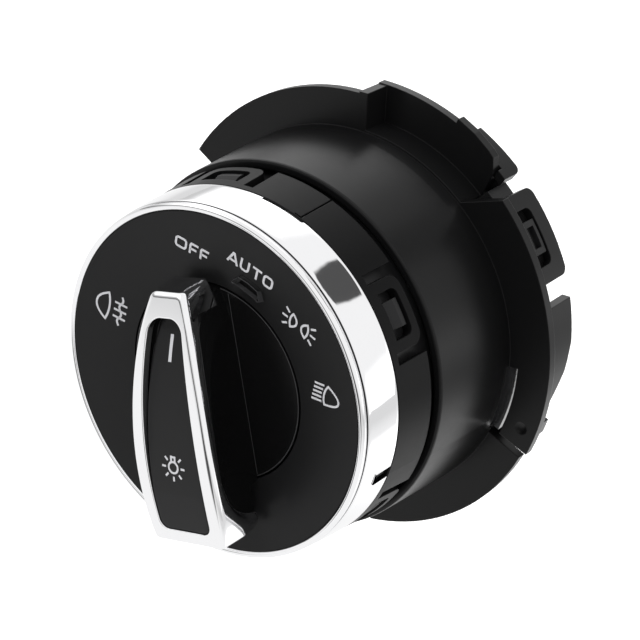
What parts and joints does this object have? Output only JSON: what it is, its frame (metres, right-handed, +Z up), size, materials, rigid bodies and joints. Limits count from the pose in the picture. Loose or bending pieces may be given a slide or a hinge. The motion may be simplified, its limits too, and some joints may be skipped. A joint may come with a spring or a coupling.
{
  "type": "headlight switch",
  "caption": "Round rotary headlight switch with a chrome-framed grip, dished black dial, trim ring, long neck and winged snap flange with a rear plug socket.",
  "frame": {"origin": "on the switch axis, in the front plane of the mounting flange", "axes": "+Y into the dashboard along the switch axis, +Z up, +X to the right as seen from the front; the dial faces -Y"},
  "size_m": [0.0858, 0.0766, 0.0862],
  "materials": {
    "chrome": "polished",
    "dial_black": "satin",
    "satin_black": "satin",
    "smoked_lens": "gloss",
    "clear_guide": "gloss",
    "black_plastic": "satin",
    "housing_black": "satin",
    "board": "matte",
    "chip": "matte",
    "natural_plastic": "satin",
    "led_plastic": "gloss",
    "spring_steel": "satin",
    "contact_brass": "satin"
  },
  "bodies": {
    "base": {"trim_ring": "chrome", "fascia": "dial_black", "indicator_lens": "smoked_lens", "light_guide": "clear_guide", "ring_carrier": "black_plastic", "front_body": "black_plastic", "dial_board": "board", "led_off": "led_plastic", "led_auto": "led_plastic", "led_side": "led_plastic", "led_dipped": "led_plastic", "led_fog": "led_plastic", "detent_spring": "spring_steel", "main_board": "board", "control_chip": "chip", "board_link": "natural_plastic", "pull_spring": "spring_steel", "terminal_1": "contact_brass", "terminal_2": "contact_brass", "terminal_3": "contact_brass", "terminal_4": "contact_brass", "terminal_5": "contact_brass", "terminal_6": "contact_brass", "terminal_7": "contact_brass", "terminal_8": "contact_brass", "terminal_9": "contact_brass", "terminal_10": "contact_brass", "rear_cover": "black_plastic", "housing": "housing_black"},
    "rotor_unit": {"rotor": "natural_plastic", "cam_wheel": "natural_plastic", "wiper": "contact_brass"},
    "knob": {"knob_body": "black_plastic", "knob_frame": "chrome", "knob_insert": "satin_black", "knob_light_guide": "clear_guide"},
    "slider": {"pull_slider": "natural_plastic", "slider_contact": "contact_brass"}
  },
  "joints": [
    {"name": "knob_turn", "type": "hinge", "parent": "base", "child": "rotor_unit", "pos_m": [0, 0, 0], "axis": [0, 1, 0], "range_deg": [0, 90], "deforming": ["detent_spring"]},
    {"name": "knob_pull", "type": "slide", "parent": "rotor_unit", "child": "knob", "axis": [0, -1, 0], "range_m": [0, 0.004]},
    {"name": "slider_move", "type": "slide", "parent": "base", "child": "slider", "axis": [0, -1, 0], "range_m": [0, 0.004], "deforming": ["pull_spring"]}
  ],
  "couplings": [
    {"joint": "slider_move", "follows": "knob_pull", "ratio": 1}
  ]
}
